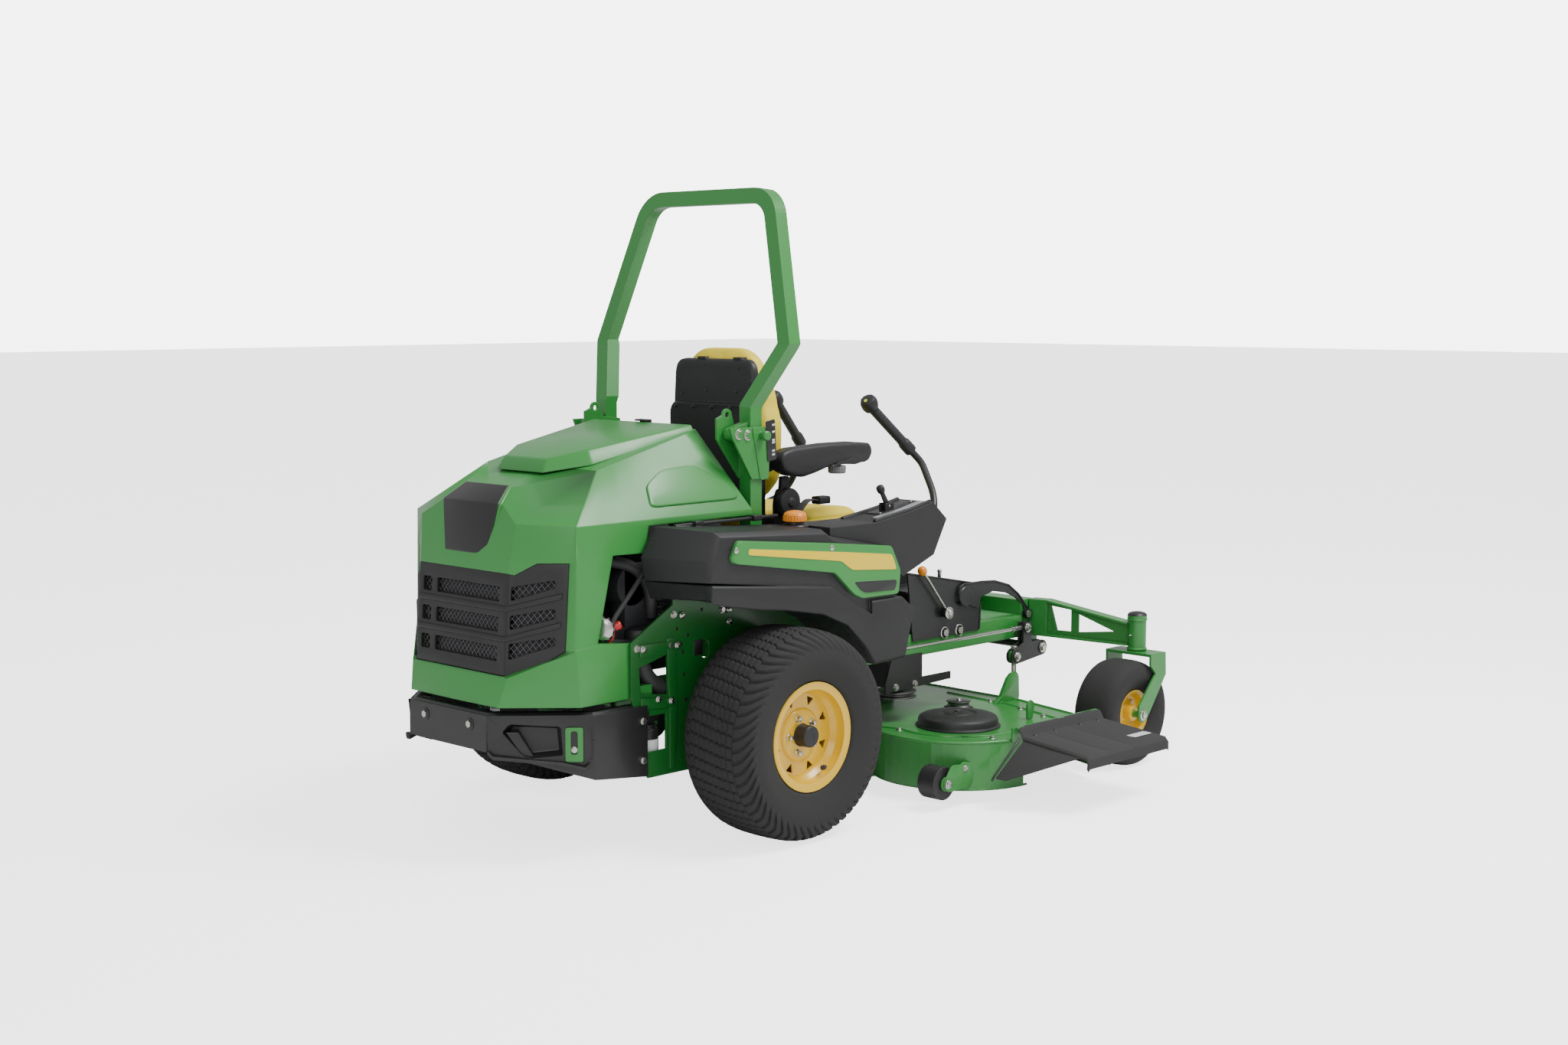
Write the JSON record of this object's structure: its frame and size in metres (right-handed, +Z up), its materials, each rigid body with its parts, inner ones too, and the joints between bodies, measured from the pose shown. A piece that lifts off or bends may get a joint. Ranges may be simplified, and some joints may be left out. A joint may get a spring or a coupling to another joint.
{
  "type": "zero turn mower",
  "caption": "Ride-on zero turn mower with tilting rear hood, folding roll bar, sprung seat, twin control levers and side-discharge belly deck.",
  "frame": {"origin": "on level ground under the middle of the whole machine", "axes": "+X forward, +Y to the operator's left, +Z up"},
  "size_m": [2.614, 1.963, 2.0189],
  "materials": {
    "green_paint": "gloss enamel",
    "black_steel": "satin powder coat",
    "black_plastic": "fine grain",
    "chute_rubber": "moulded, matt",
    "tyre_rubber": "matt",
    "yellow_paint": "gloss enamel",
    "seat_vinyl": "upholstery vinyl",
    "bright_steel": "zinc plated",
    "blade_steel": "dark steel",
    "engine_iron": "painted",
    "cap_orange": "moulded",
    "grey_plastic": "ribbed",
    "button_lime": "moulded",
    "floor_green": "gloss enamel"
  },
  "bodies": {
    "chassis": {"frame_rails": "green_paint", "side_plates": "green_paint", "front_axle": "green_paint", "rear_bumper": "black_steel", "fender_right": "black_plastic", "fender_left": "black_plastic", "fender_panels": "green_paint", "consoles": "black_plastic", "rops_posts": "green_paint", "engine": "engine_iron", "drive_units": "black_steel", "height_box": "black_steel", "foot_deck": "floor_green", "seat_base": "black_steel", "pto_housing": "black_steel", "chassis_bolts": "bright_steel"},
    "wheel_right": {"tyre_right": "tyre_rubber", "rim_right": "yellow_paint", "hub_right": "bright_steel"},
    "wheel_left": {"tyre_left": "tyre_rubber", "rim_left": "yellow_paint", "hub_left": "bright_steel"},
    "fork_right": {"caster_fork_right": "green_paint"},
    "fork_left": {"caster_fork_left": "green_paint"},
    "caster_right": {"caster_tyre_right": "tyre_rubber", "caster_rim_right": "yellow_paint"},
    "caster_left": {"caster_tyre_left": "tyre_rubber", "caster_rim_left": "yellow_paint"},
    "roll_bar": {"rops_hoop": "green_paint"},
    "hood": {"hood_shell": "green_paint", "hood_grille": "black_plastic"},
    "latch": {"hood_latch": "black_plastic"},
    "cap": {"fuel_cap": "cap_orange"},
    "suspension": {"seat_suspension": "black_steel"},
    "seat": {"seat_pan": "black_steel", "seat_cushion": "seat_vinyl"},
    "seat_back": {"back_shell": "black_plastic", "back_cushion": "seat_vinyl"},
    "arm_right": {"armrest_right": "black_plastic"},
    "arm_left": {"armrest_left": "black_plastic"},
    "arm_knob": {"armrest_knob": "grey_plastic"},
    "steer_right": {"lever_pivot_right": "black_steel"},
    "grip_right": {"lever_right": "black_steel"},
    "button_right": {"lever_button_right": "button_lime"},
    "steer_left": {"lever_pivot_left": "black_steel"},
    "grip_left": {"lever_left": "black_steel"},
    "button_left": {"lever_button_left": "button_lime"},
    "throttle": {"throttle_lever": "black_plastic"},
    "deck": {"deck_shell": "green_paint", "belt_covers": "black_plastic"},
    "discharge": {"chute": "chute_rubber"},
    "cutter_right": {"blade_right": "blade_steel"},
    "cutter_middle": {"blade_middle": "blade_steel"},
    "cutter_left": {"blade_left": "blade_steel"},
    "roller_right": {"roller_rear_right": "black_plastic"},
    "roller_left": {"roller_rear_left": "black_plastic"},
    "pulley": {"pto_pulley": "blade_steel"},
    "rockshaft": {"lift_arms": "black_steel"},
    "rods": {"lift_rods": "bright_steel"},
    "height_stick": {"height_lever": "bright_steel"}
  },
  "joints": [
    {"name": "right_wheel_spin", "type": "hinge", "parent": "chassis", "child": "wheel_right", "pos_m": [-0.45, -0.4475, 0.33], "axis": [0, 1, 0], "continuous": true},
    {"name": "left_wheel_spin", "type": "hinge", "parent": "chassis", "child": "wheel_left", "pos_m": [-0.45, 0.7245, 0.33], "axis": [0, 1, 0], "continuous": true},
    {"name": "right_caster_swivel", "type": "hinge", "parent": "chassis", "child": "fork_right", "pos_m": [1.212, -0.5985, 0.45], "axis": [0, 0, 1], "continuous": true},
    {"name": "left_caster_swivel", "type": "hinge", "parent": "chassis", "child": "fork_left", "pos_m": [1.212, 0.8755, 0.45], "axis": [0, 0, 1], "continuous": true},
    {"name": "right_caster_spin", "type": "hinge", "parent": "fork_right", "child": "caster_right", "pos_m": [1.117, -0.5985, 0.19], "axis": [0, 1, 0], "continuous": true},
    {"name": "left_caster_spin", "type": "hinge", "parent": "fork_left", "child": "caster_left", "pos_m": [1.117, 0.8755, 0.19], "axis": [0, 1, 0], "continuous": true},
    {"name": "roll_bar_fold", "type": "hinge", "parent": "chassis", "child": "roll_bar", "pos_m": [-0.446, 0.1385, 1.241], "axis": [0, -1, 0], "range_deg": [0, 100]},
    {"name": "hood_tilt", "type": "hinge", "parent": "chassis", "child": "hood", "pos_m": [-1.268, 0.1385, 0.462], "axis": [0, -1, 0], "range_deg": [0, 65]},
    {"name": "hood_latch_turn", "type": "hinge", "parent": "hood", "child": "latch", "pos_m": [-0.496, 0.1385, 1.262], "axis": [0, 1, 0], "range_deg": [0, 40]},
    {"name": "fuel_cap_turn", "type": "hinge", "parent": "chassis", "child": "cap", "pos_m": [-0.28, -0.3235, 0.962], "axis": [0, 0, 1], "continuous": true},
    {"name": "seat_spring", "type": "slide", "parent": "chassis", "child": "suspension", "axis": [0, 0, 1], "range_m": [-0.04, 0]},
    {"name": "seat_reach", "type": "slide", "parent": "suspension", "child": "seat", "axis": [1, 0, 0], "range_m": [-0.05, 0.05]},
    {"name": "back_recline", "type": "hinge", "parent": "seat", "child": "seat_back", "pos_m": [-0.135, 0.1385, 0.905], "axis": [0, -1, 0], "range_deg": [0, 12]},
    {"name": "right_arm_fold", "type": "hinge", "parent": "seat_back", "child": "arm_right", "pos_m": [-0.165, -0.1405, 1.13], "axis": [0, -1, 0], "range_deg": [0, 80]},
    {"name": "left_arm_fold", "type": "hinge", "parent": "seat_back", "child": "arm_left", "pos_m": [-0.165, 0.4175, 1.13], "axis": [0, -1, 0], "range_deg": [0, 80]},
    {"name": "arm_knob_turn", "type": "hinge", "parent": "arm_right", "child": "arm_knob", "pos_m": [0.09, -0.1605, 1.09], "axis": [0, 0, 1], "continuous": true},
    {"name": "right_lever_drive", "type": "hinge", "parent": "chassis", "child": "steer_right", "pos_m": [0.315, -0.2865, 0.848], "axis": [0, 1, 0], "range_deg": [-12, 12]},
    {"name": "right_lever_park", "type": "hinge", "parent": "steer_right", "child": "grip_right", "pos_m": [0.315, -0.2865, 0.882], "axis": [1, 0, 0], "range_deg": [0, 25]},
    {"name": "right_button_press", "type": "slide", "parent": "grip_right", "child": "button_right", "axis": [0.752, 0.1504, -0.6417], "range_m": [0, 0.003], "stiffness_N_per_m": 300, "springref_m": -0.001},
    {"name": "left_lever_drive", "type": "hinge", "parent": "chassis", "child": "steer_left", "pos_m": [0.315, 0.5635, 0.848], "axis": [0, 1, 0], "range_deg": [-12, 12]},
    {"name": "left_lever_park", "type": "hinge", "parent": "steer_left", "child": "grip_left", "pos_m": [0.315, 0.5635, 0.882], "axis": [-1, 0, 0], "range_deg": [0, 25]},
    {"name": "left_button_press", "type": "slide", "parent": "grip_left", "child": "button_left", "axis": [0.752, -0.1504, -0.6417], "range_m": [0, 0.003], "stiffness_N_per_m": 300, "springref_m": -0.001},
    {"name": "throttle_set", "type": "hinge", "parent": "chassis", "child": "throttle", "pos_m": [0.13, -0.3465, 0.985], "axis": [0, 1, 0], "range_deg": [-20, 20]},
    {"name": "deck_lift", "type": "slide", "parent": "chassis", "child": "deck", "axis": [0, 0, 1], "range_m": [-0.02, 0.045]},
    {"name": "chute_fold", "type": "hinge", "parent": "deck", "child": "discharge", "pos_m": [0.627, -0.6895, 0.243], "axis": [-1, 0, 0], "range_deg": [0, 90]},
    {"name": "middle_blade_spin", "type": "hinge", "parent": "deck", "child": "cutter_middle", "pos_m": [0.618, 0.1385, 0.1], "axis": [0, 0, 1], "continuous": true},
    {"name": "right_blade_spin", "type": "hinge", "parent": "deck", "child": "cutter_right", "pos_m": [0.468, -0.3815, 0.1], "axis": [0, 0, 1], "continuous": true},
    {"name": "left_blade_spin", "type": "hinge", "parent": "deck", "child": "cutter_left", "pos_m": [0.468, 0.6585, 0.1], "axis": [0, 0, 1], "continuous": true},
    {"name": "pto_pulley_spin", "type": "hinge", "parent": "chassis", "child": "pulley", "pos_m": [0.397, -0.1615, 0.297], "axis": [0, 0, 1], "continuous": true},
    {"name": "right_roller_spin", "type": "hinge", "parent": "deck", "child": "roller_right", "pos_m": [0.14, -0.5615, 0.09], "axis": [0, 1, 0], "continuous": true},
    {"name": "left_roller_spin", "type": "hinge", "parent": "deck", "child": "roller_left", "pos_m": [0.14, 0.8385, 0.09], "axis": [0, 1, 0], "continuous": true},
    {"name": "rockshaft_turn", "type": "hinge", "parent": "chassis", "child": "rockshaft", "pos_m": [1.115, 0.1385, 0.383], "axis": [0, 1, 0], "range_deg": [-8, 17.6]},
    {"name": "rod_slide", "type": "slide", "parent": "chassis", "child": "rods", "axis": [1, 0, 0], "range_m": [-0.012, 0.0252]},
    {"name": "height_stick_set", "type": "hinge", "parent": "chassis", "child": "height_stick", "pos_m": [0.595, -0.2215, 0.565], "axis": [0, 1, 0], "range_deg": [-8, 20]}
  ],
  "couplings": [
    {"joint": "rockshaft_turn", "follows": "deck_lift", "rad_per_m": 6.6667},
    {"joint": "rod_slide", "follows": "deck_lift", "ratio": 0.5533},
    {"joint": "right_blade_spin", "follows": "middle_blade_spin", "ratio": 1},
    {"joint": "left_blade_spin", "follows": "middle_blade_spin", "ratio": 1},
    {"joint": "pto_pulley_spin", "follows": "middle_blade_spin", "ratio": 1.0286}
  ]
}
